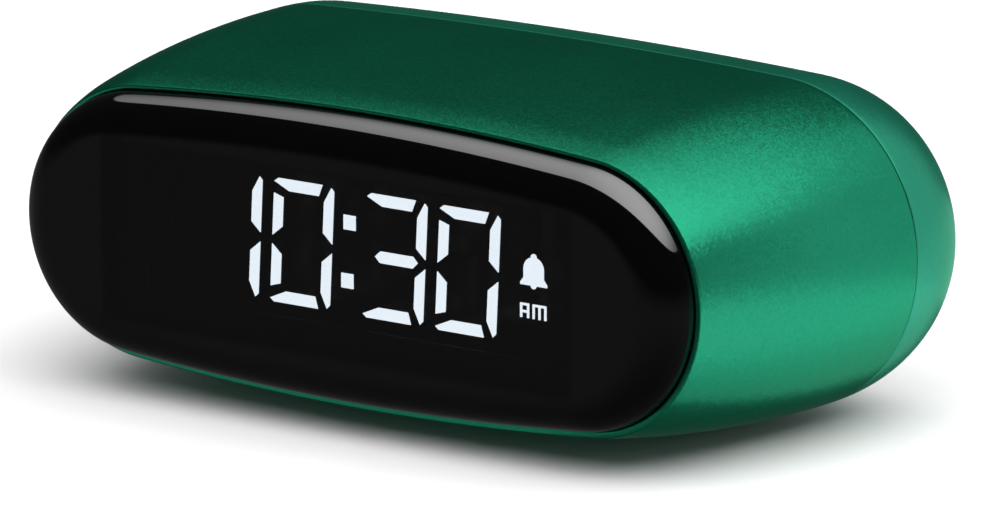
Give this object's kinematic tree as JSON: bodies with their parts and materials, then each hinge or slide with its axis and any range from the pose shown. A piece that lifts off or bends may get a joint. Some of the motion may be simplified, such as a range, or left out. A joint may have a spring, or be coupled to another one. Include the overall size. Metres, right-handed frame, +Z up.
{
  "type": "digital alarm clock",
  "caption": "Compact oval barrel-shaped digital alarm clock with a green metallic case, proud black front lens, lit digits, rear setting buttons, alarm slider and push-fit battery door.",
  "frame": {"origin": "middle of the bounding box in X and Y, on the surface that the feet stand on", "axes": "+Z up, the lens faces -Y, +X to the right as the clock is read"},
  "size_m": [0.092, 0.0514, 0.0357],
  "materials": {
    "green_case": "metallic lacquer, satin",
    "black_lens": "polished",
    "black_rubber": "matt",
    "black_plastic": "fine grain",
    "display_glass": "polished",
    "lit_white": "lit",
    "white_plastic": "smooth",
    "clear_plastic": "polished",
    "circuit_board": "solder mask",
    "bright_metal": "plated",
    "grey_plastic": "smooth",
    "copper": "plain",
    "cell_jacket": "printed jacket",
    "lead_jacket": "smooth",
    "green_button": "satin",
    "screw_steel": "zinc plated"
  },
  "bodies": {
    "case": {"main_shell": "green_case", "rear_cover": "green_case", "front_lens": "black_lens", "lens_seal": "black_rubber", "display_holder": "black_plastic", "lcd_cell": "display_glass", "time_digits": "lit_white", "alarm_icon": "lit_white", "am_icon": "lit_white", "diffuser_sheet": "white_plastic", "light_guide": "clear_plastic", "reflector_sheet": "white_plastic", "backlight_leds": "white_plastic", "zebra_strip": "black_rubber", "main_board": "circuit_board", "controller_chip": "black_plastic", "timing_crystal": "bright_metal", "filter_capacitors": "black_plastic", "chassis": "grey_plastic", "sounder": "black_plastic", "touch_plate": "copper", "upper_cell": "cell_jacket", "lower_cell": "cell_jacket", "battery_bridge": "bright_metal", "positive_contact": "bright_metal", "negative_contact": "bright_metal", "battery_leads": "lead_jacket", "button_board": "circuit_board", "switch_board": "circuit_board", "button_ribbon": "grey_plastic", "switch_ribbon": "grey_plastic", "tact_switches": "black_plastic", "alarm_switch": "bright_metal", "rubber_feet": "black_rubber", "cover_screws": "screw_steel", "chassis_screws": "screw_steel", "board_screws": "screw_steel", "daughterboard_screws": "screw_steel"},
    "battery_door": {"battery_door": "green_case"},
    "set_button": {"set_button": "green_button", "set_plunger": "black_plastic"},
    "plus_button": {"plus_button": "green_button", "plus_plunger": "black_plastic"},
    "minus_button": {"minus_button": "green_button", "minus_plunger": "black_plastic"},
    "alarm_slider": {"alarm_slider": "black_plastic"}
  },
  "joints": [
    {"name": "door_lift_off", "type": "slide", "parent": "case", "child": "battery_door", "axis": [0, 1, 0], "range_m": [0, 0.02]},
    {"name": "set_button_press", "type": "slide", "parent": "case", "child": "set_button", "axis": [0, -1, 0], "range_m": [0, 0.0005], "stiffness_N_per_m": 800, "springref_m": -0.0005},
    {"name": "plus_button_press", "type": "slide", "parent": "case", "child": "plus_button", "axis": [0, -1, 0], "range_m": [0, 0.0005], "stiffness_N_per_m": 800, "springref_m": -0.0005},
    {"name": "minus_button_press", "type": "slide", "parent": "case", "child": "minus_button", "axis": [0, -1, 0], "range_m": [0, 0.0005], "stiffness_N_per_m": 800, "springref_m": -0.0005},
    {"name": "alarm_slide", "type": "slide", "parent": "case", "child": "alarm_slider", "axis": [0, 0, -1], "range_m": [0, 0.003]}
  ]
}
